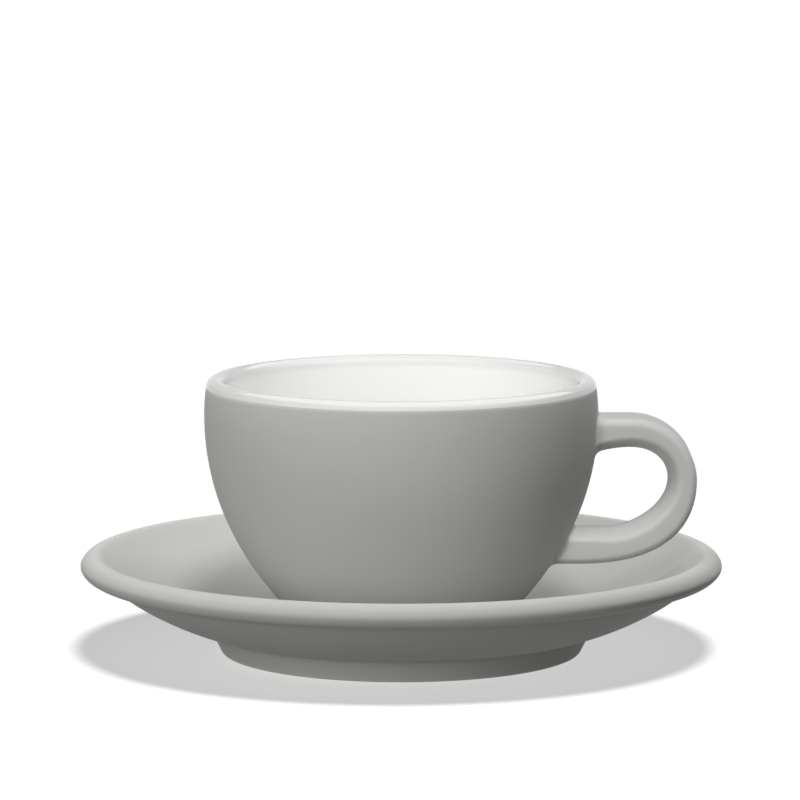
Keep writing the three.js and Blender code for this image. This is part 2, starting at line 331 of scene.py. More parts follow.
def glaze_nodes(material, colour, **values):
    """Places the shared glaze group in a material and returns the group node."""
    tree = material.node_tree
    where = node(tree, "ShaderNodeTexCoord").outputs["Object"]
    edge = node(tree, "ShaderNodeAttribute", attribute_name="edge").outputs["Fac"]
    settings = {name.replace("_", " ").title(): value for name, value in values.items()}
    group = node(
        tree, "ShaderNodeGroup",
        node_tree=glaze_group,
        links={"Vector": where, "Edge": edge},
        values={"Colour": colour, **settings},
    )
    return where, group


def new_material(name):
    """A material with a bare Principled BSDF, and that shader."""
    material = bpy.data.materials.new(name)
    material.use_nodes = True
    return material, material.node_tree.nodes["Principled BSDF"]


def bump(tree, shader, height, strength, distance):
    """Feeds a height to the shader's normal."""
    made = node(
        tree, "ShaderNodeBump",
        links={"Height": height},
        values={"Strength": strength, "Distance": distance},
    )
    tree.links.new(made.outputs["Normal"], shader.inputs["Normal"])


def matt_glaze(name, wiped_line=None):
    """Soft matt grey glaze, wiped off below a height in millimetres where the piece has a foot."""
    material, shader = new_material(name)
    tree = material.node_tree
    shader.inputs["Specular IOR Level"].default_value = MATT_SHINE
    where, glaze = glaze_nodes(material, GREY, roughness=MATT_ROUGHNESS)
    colour = glaze.outputs["Colour"]
    rough = glaze.outputs["Roughness"]
    if wiped_line is not None:
        wiped = node(
            tree, "ShaderNodeGroup",
            node_tree=bare_group,
            links={"Vector": where},
            values={"Line Height": wiped_line * MM},
        ).outputs["Mask"]
        clay = node(
            tree, "ShaderNodeMix",
            data_type="RGBA",
            links={"Factor": wiped, "A": colour},
            values={"B": CLAY},
        )
        colour = clay.outputs[2]
        rough = maths(tree, "ADD", rough, maths(tree, "MULTIPLY", wiped, CLAY_ROUGHER))
    tree.links.new(colour, shader.inputs["Base Color"])
    tree.links.new(rough, shader.inputs["Roughness"])
    bump(tree, shader, glaze.outputs["Height"], strength=0.12, distance=0.05 * MM)
    return material


def gloss_glaze(name):
    """Glossy white glaze, with the faint ripple of a coat that flowed before it set."""
    material, shader = new_material(name)
    tree = material.node_tree
    # The lip is greyed by a negative edge value: partly the clay through the thin coat, partly painted
    # shade.
    _, glaze = glaze_nodes(
        material, WHITE,
        cloud_scale=140.0, cloud_depth=0.012, grain_depth=0.004, edge_break=-0.21,
        roughness=0.03, roughness_depth=0.03,
    )
    tree.links.new(glaze.outputs["Colour"], shader.inputs["Base Color"])
    tree.links.new(glaze.outputs["Roughness"], shader.inputs["Roughness"])
    bump(tree, shader, glaze.outputs["Height"], strength=0.04, distance=0.02 * MM)
    return material


print("finishes: soft matt grey, gloss white, bare clay")

# %% [markdown]
# ## The potter's wheel
# The saucer, the bowl and its lining are all spun, so one Geometry Nodes tree throws all three. It could
# be a Screw modifier, but the tree shows the rule in the open: it lays out a grid with one row for each
# point of the profile and one column for each step of a turn, sends every grid point to its place with a
# sine and a cosine, and merges the seam and the two points on the axis. It also carries a number called
# edge, which says how sharply the profile turns there, for the glaze to read.

# %% Build the wheel tree
WELD = 0.002

wheel_tree, wheel_in, wheel_out = new_group(
    "potters_wheel",
    "GeometryNodeTree",
    [
        ("Profile", "NodeSocketGeometry", None),
        ("Steps", "NodeSocketInt", 64),
        ("Glaze", "NodeSocketMaterial", None),
    ],
    [("Geometry", "NodeSocketGeometry")],
)


def whole_maths(tree, operation, first, second):
    """An Integer Math node of two sockets, or of a socket and a number."""
    made = node(tree, "FunctionNodeIntegerMath", operation=operation)
    tree.links.new(first, made.inputs[0])
    if isinstance(second, int):
        made.inputs[1].default_value = second
    else:
        tree.links.new(second, made.inputs[1])
    return made.outputs[0]


def from_profile(tree, profile, value, row, data_type):
    """The value that a profile point holds, for the grid point in that row."""
    made = node(tree, "GeometryNodeSampleIndex", data_type=data_type, domain="POINT")
    tree.links.new(profile, made.inputs["Geometry"])
    tree.links.new(value, made.inputs["Value"])
    tree.links.new(row, made.inputs["Index"])
    return made.outputs["Value"]


def build_wheel(tree, given, result):
    """Spins the given profile about the vertical axis into one closed skin."""
    profile = given["Profile"]
    size = node(tree, "GeometryNodeAttributeDomainSize", links={"Geometry": profile})
    rows = size.outputs["Point Count"]
    grid = node(
        tree, "GeometryNodeMeshGrid",
        links={"Vertices X": whole_maths(tree, "ADD", given["Steps"], 1), "Vertices Y": rows},
    ).outputs["Mesh"]
    index = node(tree, "GeometryNodeInputIndex").outputs["Index"]
    row = whole_maths(tree, "MODULO", index, rows)
    column = whole_maths(tree, "DIVIDE", index, rows)
    turn = maths(tree, "MULTIPLY", maths(tree, "DIVIDE", column, given["Steps"]), 2 * math.pi)

    position = node(tree, "GeometryNodeInputPosition").outputs["Position"]
    place = from_profile(tree, profile, position, row, "FLOAT_VECTOR")
    parts = node(tree, "ShaderNodeSeparateXYZ", links={0: place}).outputs
    spun = node(
        tree, "ShaderNodeCombineXYZ",
        links={
            "X": maths(tree, "MULTIPLY", parts["X"], maths(tree, "COSINE", turn, 0.0)),
            "Y": maths(tree, "MULTIPLY", parts["X"], maths(tree, "SINE", turn, 0.0)),
            "Z": parts["Z"],
        },
    ).outputs["Vector"]
    edge = node(tree, "GeometryNodeInputNamedAttribute", data_type="FLOAT", values={"Name": "edge"})
    edge_here = from_profile(tree, profile, edge.outputs["Attribute"], row, "FLOAT")
    kept = node(
        tree, "GeometryNodeStoreNamedAttribute",
        data_type="FLOAT", domain="POINT",
        links={"Geometry": grid, "Value": edge_here},
        values={"Name": "edge"},
    ).outputs["Geometry"]
    moved = node(tree, "GeometryNodeSetPosition", links={"Geometry": kept, "Position": spun})
    merged = node(
        tree, "GeometryNodeMergeByDistance",
        links={"Geometry": moved.outputs["Geometry"]},
        values={"Distance": WELD * MM},
    )
    smooth = node(tree, "GeometryNodeSetShadeSmooth", links={"Geometry": merged.outputs["Geometry"]})
    real = node(tree, "GeometryNodeRealizeInstances", links={"Geometry": smooth.outputs["Geometry"]})
    glazed = node(
        tree, "GeometryNodeSetMaterial",
        links={"Geometry": real.outputs["Geometry"], "Material": given["Glaze"]},
    )
    tree.links.new(glazed.outputs["Geometry"], result["Geometry"])


build_wheel(wheel_tree, wheel_in.outputs, wheel_out.inputs)
wheel_items = wheel_tree.interface.items_tree
wheel_socket = {item.name: item.identifier for item in wheel_items if item.in_out == "INPUT"}
print("potters_wheel inputs:", wheel_socket)

# %% A helper that throws one piece
WHEEL_STEPS = 216
EDGE_SPREAD = 1.2
SHORTEST_STEP = 0.01


def edge_numbers(run):
    """How sharply each point of a run turns to the left: towards 1 on an edge, below 0 in a corner."""
    last = len(run) - 1
    travelled = [0.0]
    for here, there in zip(run, run[1:]):
        travelled.append(travelled[-1] + (there - here).length)
    turns = [0.0] * len(run)
    for i in range(1, last):
        into = run[i] - run[i - 1]
        out = run[i + 1] - run[i]
        angle = math.atan2(into.x * out.y - into.y * out.x, into.dot(out))
        turns[i] = angle / max((into.length + out.length) / 2, SHORTEST_STEP)
    numbers = []
    for here in travelled:
        total = weight = 0.0
        for there, turn in zip(travelled, turns):
            near = max(0.0, 1 - abs(there - here) / EDGE_SPREAD)
            total += turn * near
            weight += near
        numbers.append(max(-1.0, min(1.0, total / weight)))
    return numbers


def close_skin(mesh):
    """Turns every face outwards, says whether the skin is closed, and counts its triangles."""
    skin = bmesh.new()
    skin.from_mesh(mesh)
    bmesh.ops.recalc_face_normals(skin, faces=skin.faces)
    closed = all(edge.is_manifold for edge in skin.edges)
    if skin.calc_volume(signed=True) < 0:
        bmesh.ops.reverse_faces(skin, faces=skin.faces)
    skin.to_mesh(mesh)
    volume = skin.calc_volume()
    skin.free()
    mesh.shade_smooth()
    triangles = sum(len(face.vertices) - 2 for face in mesh.polygons)
    return f"{triangles} triangles, closed: {closed}, {volume / CM**3:.1f} cm3"


def throw(name, run, glaze):
    """Spins a profile in millimetres on the wheel and returns the piece as a plain mesh object."""
    sketch = bpy.data.meshes.new(name + "_profile")
    sketch.from_pydata(
        [(p.x * MM, 0.0, p.y * MM) for p in run],
        [(i, i + 1) for i in range(len(run) - 1)],
        [],
    )
    sketch.attributes.new("edge", "FLOAT", "POINT").data.foreach_set("value", edge_numbers(run))
    piece = bpy.data.objects.new(name, sketch)
    wheel = piece.modifiers.new("wheel", "NODES")
    wheel.node_group = wheel_tree
    wheel[wheel_socket["Steps"]] = WHEEL_STEPS
    wheel[wheel_socket["Glaze"]] = glaze
    bpy.context.scene.collection.objects.link(piece)
    skin = bpy.data.meshes.new_from_object(piece.evaluated_get(bpy.context.evaluated_depsgraph_get()))
    piece.modifiers.clear()
    piece.data = skin
    bpy.data.meshes.remove(sketch)
    print(name + ":", len(run), "profile points,", close_skin(skin))
    return piece


# %% [markdown]
# ## The saucer
# A footed saucer is turned upside down on the wheel: a ring is left proud under it, the wall sweeps up to
# a rolled lip, and the upper face follows the wall down to a level floor with a shallow well, which keeps
# the cup from sliding. The lip is no plain bead: a flat shoulder, a tight nose and a full keel are three
# arcs that flow into each other. The underside meets it in a crease, whose dark line sets the lip off.

# %% Draw and throw the saucer
_, saucer_high = box_in_mm("saucer")
saucer_radius = saucer_high.x
saucer_height = saucer_high.z
LIP_SHOULDER = 3.4
LIP_NOSE = 1.6
LIP_KEEL = 3.6
NOSE_FROM = 23.0
NOSE_TO = -32.0
KEEL_TO = -76.0
CREASE_IN = 6.2
CREASE_DOWN = 5.85
LIP_TOP = 0.05
BROW_RADIUS = 2.4
DISH_SLOPE = 36.0
DISH_PULL = 16.0
FLOOR_RADIUS = 31.0
FLOOR_PULL = 14.0
UNDER_FOOT_RUN = 6.8
UNDER_FOOT_RISE = 0.9
UNDER_LIP_RUN = 3.9
UNDER_LIP_FALL = 4.2
FOOT_RADIUS = 40.6
FOOT_HEIGHT = 5.2
FOOT_FLARE = 2.6
FOOT_WIDTH = 2.8
FOOT_ROUNDING = 0.6
RECESS_ROUNDING = 0.8
FOOT_TOP_ROUNDING = 0.7
CREASE_ROUNDING = 0.9
RECESS = 2.2
WELL_RADIUS = 26.0
WELL_STEP = 2.0
WELL_DEPTH = 1.0
SEAT_HEIGHT = 6.4
WIPED_BAND = 0.45


def saucer_profile():
    """From the middle of the recessed base, out under the foot and wall, over the lip and back."""
    ring_inside = FOOT_RADIUS - FOOT_WIDTH
    foot_top = at(FOOT_RADIUS + FOOT_FLARE, FOOT_HEIGHT)
    crease = at(saucer_radius - CREASE_IN, saucer_height - CREASE_DOWN)
    upper_turn = (LIP_SHOULDER - LIP_NOSE) * heading(NOSE_FROM)
    lower_turn = (LIP_KEEL - LIP_NOSE) * heading(NOSE_TO)
    nose = at(saucer_radius - LIP_NOSE, saucer_height - LIP_SHOULDER + upper_turn.y)
    shoulder = nose - upper_turn
    keel = nose - lower_turn
    floor_height = SEAT_HEIGHT + WELL_DEPTH

    base = line(at(0, RECESS), at(ring_inside - RECESS, RECESS))
    ring_slope = line(at(ring_inside - RECESS, RECESS), at(ring_inside, 0))
    ring_flat = line(at(ring_inside, 0), at(FOOT_RADIUS, 0), spacing=0.5)
    ring_side = line(at(FOOT_RADIUS, 0), foot_top, spacing=0.6)
    wall_leaves = at(foot_top.x + UNDER_FOOT_RUN, foot_top.y + UNDER_FOOT_RISE)
    wall_arrives = at(crease.x - UNDER_LIP_RUN, crease.y - UNDER_LIP_FALL)
    under = bezier([foot_top, wall_leaves, wall_arrives, crease], count=28)
    lip = arc(keel, LIP_KEEL, LIP_KEEL, KEEL_TO, NOSE_TO, count=12)
    lip = line(crease, lip[0], spacing=0.6)[:-1] + lip
    lip += arc(nose, LIP_NOSE, LIP_NOSE, NOSE_TO, NOSE_FROM, count=12)[1:]
    lip += arc(shoulder, LIP_SHOULDER, LIP_SHOULDER, NOSE_FROM, 90, count=16)[1:]

    brow_middle = at(shoulder.x - LIP_TOP, saucer_height - BROW_RADIUS)
    brow = arc(brow_middle, BROW_RADIUS, BROW_RADIUS, 90, 90 + DISH_SLOPE, count=10)
    downhill = brow[-1] - brow[-2]
    dish_leaves = brow[-1] + downhill.normalized() * DISH_PULL
    flat = at(FLOOR_RADIUS, floor_height)
    dish = bezier([brow[-1], dish_leaves, flat + at(FLOOR_PULL, 0), flat], count=40)
    upper = lip + line(lip[-1], brow[0], spacing=0.4)[1:-1] + brow + dish[1:]
    upper += line(flat, at(WELL_RADIUS, floor_height))[1:]
    step_middle = WELL_RADIUS - WELL_STEP / 2
    seat = at(WELL_RADIUS - WELL_STEP, SEAT_HEIGHT)
    well = [upper[-1], at(step_middle, floor_height), at(step_middle, SEAT_HEIGHT), seat]
    upper += bezier(well, count=12)[1:]
    upper += line(seat, at(0, SEAT_HEIGHT), spacing=1.6)[1:]

    run = joined(base, ring_slope, RECESS_ROUNDING)
    run = joined(run, ring_flat, FOOT_ROUNDING)
    run = joined(run, ring_side, FOOT_ROUNDING)
    run = joined(run, under, FOOT_TOP_ROUNDING)
    return joined(run, upper, CREASE_ROUNDING)


saucer = throw("saucer_body", saucer_profile(), matt_glaze("saucer_matt_glaze", WIPED_BAND))
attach(saucer, "saucer")
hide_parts("saucer")

# %% [markdown]
# ## The bowl of the cup
# The bowl rises from a low foot ring in one full curve, is widest a little under the lip and draws in
# again by half a millimetre. A subdivided cylinder could be pushed into that shape, but a Bezier curve
# gives its fairness at once and hands the same line to the lining and to the handle's roots. The clay
# carries on under the white lining, so the two glazes meet with no gap.

# %% Draw and throw the bowl
bowl_low, bowl_high = box_in_mm("cup_bowl")
_, liner_high = box_in_mm("cup_liner")
cup_foot_z = bowl_low.z
belly_radius = bowl_high.x
border_radius = liner_high.x
rim_z = liner_high.z
BORDER_DROP = 1.8
BELLY_HEIGHT = 47.4
BELLY_PULL = 21.1
SHOULDER = (24.4, 1.7)
SHOULDER_PULL = (9.7, 10.1)
CUP_FOOT_RADIUS = 23.6
CUP_FOOT_WIDTH = 3.0
CUP_RECESS = 1.4
CUP_BASE = 3.6
CUP_WALL = 4.1
GLAZE_THICKNESS = 0.5
BOWL_STEPS = 56
FLOOR_JOIN = BOWL_STEPS // 4
LIP_CLEARANCE = 0.7
FOOT_SIDE_DROP = 0.7
CUP_RECESS_ROUNDING = 0.5
CUP_FOOT_ROUNDING = 0.35
border_z = rim_z - BORDER_DROP


def bowl_outside():
    """The outside from the shoulder above the foot, over the belly, to the border of the lining."""
    shoulder = at(SHOULDER[0], cup_foot_z + SHOULDER[1])
    belly = at(belly_radius, cup_foot_z + BELLY_HEIGHT)
    leaves = shoulder + at(*SHOULDER_PULL)
    arrives = belly - at(0, BELLY_PULL)
    border = at(border_radius, border_z)
    brink = [belly, at(belly_radius, (belly.y + border_z) / 2), border]
    return bezier([shoulder, leaves, arrives, belly], BOWL_STEPS) + bezier(brink, count=10)[1:]


def cup_inside(outside):
    """The white face of the lining: its floor, which joins the wall low down, the wall and the lip."""
    wall = beside(outside, CUP_WALL)
    floor_z = cup_foot_z + CUP_RECESS + CUP_BASE
    low = wall[FLOOR_JOIN]
    lean = wall[FLOOR_JOIN + 1] - wall[FLOOR_JOIN - 1]
    corner = at(low.x - (low.y - floor_z) * lean.x / lean.y, floor_z)
    floor = bezier([at(0, floor_z), corner, low], count=24)
    lip_middle = at(border_radius - CUP_WALL / 2, border_z)
    lip = arc(lip_middle, CUP_WALL / 2, BORDER_DROP, 180, 0, count=36)
    side = [p for p in wall[FLOOR_JOIN + 1:] if p.y < border_z - LIP_CLEARANCE]
    return floor + side + lip


def bowl_profile(outside, inside):
    """The clay: recessed base, foot ring, outside, and the bed that the lining lies on."""
    ring_inside = CUP_FOOT_RADIUS - CUP_FOOT_WIDTH
    recess_z = cup_foot_z + CUP_RECESS
    base = line(at(0, recess_z), at(ring_inside - CUP_RECESS, recess_z))
    ring_slope = line(base[-1], at(ring_inside, cup_foot_z), spacing=0.5)
    ring_flat = line(ring_slope[-1], at(CUP_FOOT_RADIUS, cup_foot_z), spacing=0.5)
    ring_side = line(ring_flat[-1], at(CUP_FOOT_RADIUS, outside[0].y - FOOT_SIDE_DROP), spacing=0.4)
    ring_side += line(ring_side[-1], outside[0], spacing=0.4)[1:]
    bed = beside(inside, -GLAZE_THICKNESS)[::-1]
    bed = [p for p in bed if p.y > border_z or p.x < border_radius - CUP_WALL / 2]
    bed[-1] = at(0, bed[-1].y)
    run = joined(base, ring_slope, CUP_RECESS_ROUNDING)
    run = joined(run, ring_flat, CUP_FOOT_ROUNDING)
    run = joined(run, ring_side, CUP_FOOT_ROUNDING)
    return run + outside[1:] + bed


outside = bowl_outside()
inside = cup_inside(outside)
cup_glaze = matt_glaze("cup_matt_glaze", cup_foot_z + WIPED_BAND)
bowl = throw("cup_body", bowl_profile(outside, inside), cup_glaze)
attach(bowl, "cup")
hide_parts("cup_bowl")

# %% [markdown]
# ## The white lining
# The inside is glazed gloss white, and the white rolls over the lip and stops in a clean line just under
# it on the outside. A colour mask on the bowl would draw the line, but the coat is a real layer: it is
# glossy where the outside is matt and lies a hair proud of it, so it is thrown as a thin shell.

# %% Draw and throw the lining
COAT_PROUD = 0.04
COAT_LAP = 0.12
COAT_TUCK = 0.01
COAT_BEDDED = 0.8


def lining_profile(inside):
    """The back of the coat from the axis to the border, its lapped edge, and its white face."""
    back = beside(inside, -GLAZE_THICKNESS * COAT_BEDDED)
    back = [p for p in back if p.y > border_z or p.x < border_radius - CUP_WALL / 2]
    back[0] = at(0, back[0].y)
    tuck = at(border_radius - GLAZE_THICKNESS / 2, border_z - COAT_LAP / 2)
    lap = at(border_radius - COAT_TUCK, border_z - COAT_LAP)
    proud = at(border_radius + COAT_PROUD, border_z + COAT_LAP / 2)
    return back + [tuck] + bezier([lap, at(proud.x, lap.y), proud], count=5) + inside[-3::-1]


lining = throw("cup_lining", lining_profile(inside), gloss_glaze("lining_gloss_glaze"))
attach(lining, "cup")
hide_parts("cup_liner")

# %% [markdown]
# ## The strap handle
# A strap handle is a flat band of clay, bent while soft and luted to the bowl at both ends. Its outer
# face is flat with soft edges, its inner face is crowned for the finger, and at each root the clay is
# smoothed out on to the bowl. A curve with a bevel profile would keep one thickness all the way, but here
# the band thins at the side and thickens at the foot, so it is lofted between an outer and an inner rail.

# %% Draw the rails and the section of the strap
_, handle_high = box_in_mm("cup_handle")
handle_side = handle_high.x
TOP_DROP = 8.7
HANDLE_HEIGHT = 33.05
STRAIGHT = 7.3
SIDE_DROP = 14.2
TURN_IN = 3.8
TURN_OUT = 1.3
TOP_THICKNESS = 7.1
SIDE_THICKNESS = 6.35
FOOT_THICKNESS = 7.7
ROOT_SWELL = 1.1
STRAP_WIDTH = 14.0
STRAP_EDGE = 1.9
CROWN_RISE = 2.4
CROWN_EDGE = 0.9
OUTER_UPPER_BEND = (0.63, 0.47)
OUTER_LOWER_BEND = (0.73, 0.55)
INNER_UPPER_BEND = (0.59, 0.58)
INNER_LOWER_BEND = (0.47, 0.54)
BEND_STEPS = 40
EDGE_STEPS = 10
CROWN_STEPS = 26
CROWN_EDGE_STEPS = 8


def bend(level, upright, run, rise):
    """A bend that leaves one point level and arrives upright at the other."""
    leaves = at(level.x + (upright.x - level.x) * run, level.y)
    arrives = at(upright.x, upright.y + (level.y - upright.y) * rise)
    return bezier([level, leaves, arrives, upright], BEND_STEPS)


def strap_rails():
    """Pairs of outer and inner rail points, from the upper arm's shoulder to the lower arm's."""
    top = rim_z - TOP_DROP
    bottom = top - HANDLE_HEIGHT
    shoulder = belly_radius + STRAIGHT
    outer_side = at(handle_side, top - SIDE_DROP)
    inner_side = at(handle_side - SIDE_THICKNESS, top - SIDE_DROP)
    outer_top = at(shoulder, top)
    inner_top = at(shoulder, top - TOP_THICKNESS)
    outer_foot = at(belly_radius - TURN_IN, bottom)
    inner_foot = at(belly_radius + TURN_OUT, bottom + FOOT_THICKNESS)
    outer = bend(outer_top, outer_side, *OUTER_UPPER_BEND)
    outer += bend(outer_foot, outer_side, *OUTER_LOWER_BEND)[-2::-1]
    inner = bend(inner_top, inner_side, *INNER_UPPER_BEND)
    inner += bend(inner_foot, inner_side, *INNER_LOWER_BEND)[-2::-1]
    return list(zip(outer, inner))


def strap_section(thickness):
    """Places round the strap as (across, up from the inner rail): soft edges, flat back, crown."""
    half = STRAP_WIDTH / 2
    edge_middle = at(half - STRAP_EDGE, thickness - STRAP_EDGE)
    right = arc(edge_middle, STRAP_EDGE, STRAP_EDGE, 0, 90, EDGE_STEPS)
    left = [at(-p.x, p.y) for p in right[::-1]]
    flat = line(right[-1], left[0], spacing=0.9)[1:-1]
    crown_radius = (half**2 + CROWN_RISE**2) / (2 * CROWN_RISE)
    spread = math.degrees(math.asin(half / crown_radius) - CROWN_EDGE / crown_radius)
    crown_middle = at(0, crown_radius)
    crown = arc(crown_middle, crown_radius, crown_radius, 270 - spread, 270 + spread, CROWN_STEPS)
    corner = at(-half, CROWN_RISE)
    left_turn = bezier([corner + at(0, CROWN_EDGE), corner, crown[0]], CROWN_EDGE_STEPS)
    right_turn = [at(-p.x, p.y) for p in left_turn[::-1]]
    left_side = [left[-1].lerp(left_turn[0], i / 3) for i in (1, 2)]
    right_side = [right_turn[-1].lerp(right[0], i / 3) for i in (1, 2)]
    inner_face = left_turn + crown[1:-1] + right_turn
    return right + flat + left + left_side + inner_face + right_side


def ring_at(outer, inner):
    """The section of the strap between two rail points, in space."""
    across = outer - inner
    thickness = across.length
    across.normalize()
    ring = []
    for p in strap_section(thickness):
        spot = inner + across * p.y
        ring.append(Vector((spot.x, p.x, spot.y)))
    return ring


rails = strap_rails()
print("strap:", len(rails), "stations of", len(ring_at(*rails[0])), "points")

# %% [markdown]
# ## Luting the roots
# Where the band meets the bowl, a wet sponge leaves a small hollow fillet. A boolean with a bevel would
# guess where the corner is. Here each line along the band is followed until it touches the bowl, and a
# small curve turns it from the band on to the bowl's own surface, so the two flow into each other. The
# last ring dips under the bowl's skin, where a cap closes the band.

# %% Find where the strap meets the bowl and loft it
FILLET = 1.5
ROOT_STEPS = 12
FILLET_STEPS = 8
UPPER_REACH = 5.0
LOWER_REACH = 14.0
LEAN_STEP = 0.2
HALVINGS = 40
LOOK_BACK = 0.02
LANDING_DEPTH = 0.01
DIP_RUN = 0.5
DIP_DEPTH = 0.12
CAP_DEPTH = 1.2
bowl_heights = [p.y for p in outside]


def bowl_radius(z):
    """Radius of the bowl's outside at a height."""
    i = min(max(bisect_left(bowl_heights, z), 1), len(outside) - 1)
    low, high = outside[i - 1], outside[i]
    return low.x + (high.x - low.x) * (z - low.y) / (high.y - low.y)


def bowl_normal(place):
    """Direction straight out of the bowl's side at a place on it."""
    rise = bowl_radius(place.z + LEAN_STEP) - bowl_radius(place.z - LEAN_STEP)
    lean = rise / (2 * LEAN_STEP)
    out = Vector((place.x, place.y, 0)).normalized()
    return (out - Vector((0, 0, lean))).normalized()


def on_bowl(place, depth):
    """A place moved level with its height on to the bowl's side, a depth under its skin."""
    out = Vector((place.x, place.y, 0)).normalized()
    return out * (bowl_radius(place.z) - depth) + Vector((0, 0, place.z))


def touch(path):
    """How far along a path, from 0 outside the bowl to 1 inside it, the path meets the bowl."""
    near, far = 0.0, 1.0
    for _ in range(HALVINGS):
        middle = (near + far) / 2
        place = path(middle)
        if math.hypot(place.x, place.y) > bowl_radius(place.z):
            near = middle
        else:
            far = middle
    return far


def root_rings(paths, normals):
    """Rings from the start of each path to the bowl, round its fillet and under the bowl's skin."""
    lines = []
    for path, normal in zip(paths, normals):
        end = touch(path)
        corner = path(end)
        back = (path(end - LOOK_BACK) - corner).normalized()
        reach = (path(0.0) - corner).length
        start = end * (1 - FILLET / reach)
        run = [path(start * i / ROOT_STEPS) for i in range(1, ROOT_STEPS + 1)]
        skin = bowl_normal(corner)
        spread = (normal - skin * normal.dot(skin)).normalized()
        landing = on_bowl(corner + spread * FILLET, LANDING_DEPTH)
        run += bezier([run[-1], corner, landing], FILLET_STEPS)[1:]
        run.append(on_bowl(landing + spread * DIP_RUN, DIP_DEPTH))
        run.append(corner - back * CAP_DEPTH)
        lines.append(run)
    return [list(ring) for ring in zip(*lines)]


def ring_normals(ring):
    """Outward directions of a ring, seen along the arm."""
    count = len(ring)
    middle = sum(ring, Vector()) / count
    normals = []
    for i in range(count):
        along = ring[(i + 1) % count] - ring[i - 1]
        across = Vector((0, along.z, -along.y)).normalized()
        outward = across.dot(ring[i] - middle) > 0
        normals.append(across if outward else -across)
    return normals


def upper_paths():
    """Lines along the upper arm, level on top and swelling below towards the bowl."""
    outer, inner = rails[0]
    root = bowl_radius((outer.y + inner.y) / 2)
    span = outer.x - root
    count = len(ring_at(outer, inner))

    def path_of(k):
        def path(t):
            x = outer.x - t * (span + UPPER_REACH)
            swell = ROOT_SWELL * ((outer.x - x) / span) ** 2
            return ring_at(at(x, outer.y), at(x, inner.y - swell))[k]
        return path
    return [path_of(k) for k in range(count)]


def lower_paths():
    """Lines that run level from the end of the lower bend into the bowl."""
    ring = ring_at(*rails[-1])

    def path_of(start):
        return lambda t: start - Vector((t * LOWER_REACH, 0, 0))
    return [path_of(start) for start in ring]


first_ring = ring_at(*rails[0])
last_ring = ring_at(*rails[-1])
upper_root = root_rings(upper_paths(), ring_normals(first_ring))
lower_root = root_rings(lower_paths(), ring_normals(last_ring))
rings = upper_root[::-1] + [ring_at(*pair) for pair in rails] + lower_root
print("handle:", len(rings), "rings")

# %% Skin the strap


def skin_rings(name, rings, edge_run, glaze):
    """Lofts a capped skin through rings of points in millimetres; edge_run holds one ring's numbers."""
    count = len(rings[0])
    places = [tuple(p * MM) for ring in rings for p in ring]
    faces = []
    for s in range(len(rings) - 1):
        for i in range(count):
            a = s * count + i
            b = s * count + (i + 1) % count
            faces.append((a, b, b + count, a + count))
    for ring, start in ((rings[0], 0), (rings[-1], (len(rings) - 1) * count)):
        middle = sum(ring, Vector()) / count
        places.append(tuple(middle * MM))
        hub = len(places) - 1
        faces += [(start + i, start + (i + 1) % count, hub) for i in range(count)]
    mesh = bpy.data.meshes.new(name)
    mesh.from_pydata(places, [], faces)
    edges = list(edge_run) * len(rings) + [0.0, 0.0]
    mesh.attributes.new("edge", "FLOAT", "POINT").data.foreach_set("value", edges)
    mesh.materials.append(glaze)
    piece = bpy.data.objects.new(name, mesh)
    bpy.context.scene.collection.objects.link(piece)
    print(name + ":", close_skin(mesh))
    return piece


section = strap_section(SIDE_THICKNESS)
section_edges = edge_numbers(section + section + section)[len(section):2 * len(section)]
handle = skin_rings("cup_strap", rings, section_edges, matt_glaze("handle_matt_glaze"))
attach(handle, "cup")
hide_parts("cup_handle")

# %% [markdown]
# ## The white floor
# The set was photographed on a seamless white sheet, burnt out to pure white except for the saucer's soft
# shadow. Brighter lamps would burn out the white lining too, so the floor helps itself: it glows to the
# camera and to mirror reflections, and its own white takes the shadow. To scattered light it only glows
# faintly, because the underside of the saucer is dark in the photograph and evenly so. A flat sheet is
# enough, because nothing of its far edge is seen; it lies a hair under the foot ring.

# %% Lay the floor
FLOOR_HALF = 6.0
FLOOR_WHITE = 0.8
FLOOR_GLOW = 0.525
FLOOR_LIFT = 0.2
FLOOR_GAP = 0.00002


def seen_directly(tree):
    """One for rays from the camera, a mirror or clear glass, and nothing for scattered light."""
    path = node(tree, "ShaderNodeLightPath").outputs
    mirrored = maths(tree, "MAXIMUM", path["Is Glossy Ray"], path["Is Transmission Ray"])
    return maths(tree, "MAXIMUM", path["Is Camera Ray"], mirrored)


def white_sheet():
    """White paper that glows to the camera, and faintly to scattered light."""
    material = bpy.data.materials.new("white_sheet")
    material.use_nodes = True
    tree = material.node_tree
    tree.nodes.clear()
    seen = seen_directly(tree)
    white = maths(tree, "MULTIPLY", seen, FLOOR_WHITE)
    paper = node(tree, "ShaderNodeBsdfDiffuse", links={"Color": white})
    strength = maths(tree, "ADD", maths(tree, "MULTIPLY", seen, FLOOR_GLOW - FLOOR_LIFT), FLOOR_LIFT)
    glow = node(tree, "ShaderNodeEmission", links={"Strength": strength})
    both = node(tree, "ShaderNodeAddShader", links={0: paper.outputs[0], 1: glow.outputs[0]})
    node(tree, "ShaderNodeOutputMaterial", links={"Surface": both.outputs[0]})
    return material


sheet = bpy.data.meshes.new("floor_sheet")
corners = [(-FLOOR_HALF, -FLOOR_HALF, 0), (FLOOR_HALF, -FLOOR_HALF, 0)]
corners += [(FLOOR_HALF, FLOOR_HALF, 0), (-FLOOR_HALF, FLOOR_HALF, 0)]
sheet.from_pydata(corners, [], [(0, 1, 2, 3)])
sheet.materials.append(white_sheet())
floor = bpy.data.objects.new("floor_sheet", sheet)
floor.location.z = -FLOOR_GAP
bpy.context.scene.collection.objects.link(floor)
print("floor laid,", 2 * FLOOR_HALF, "m across")

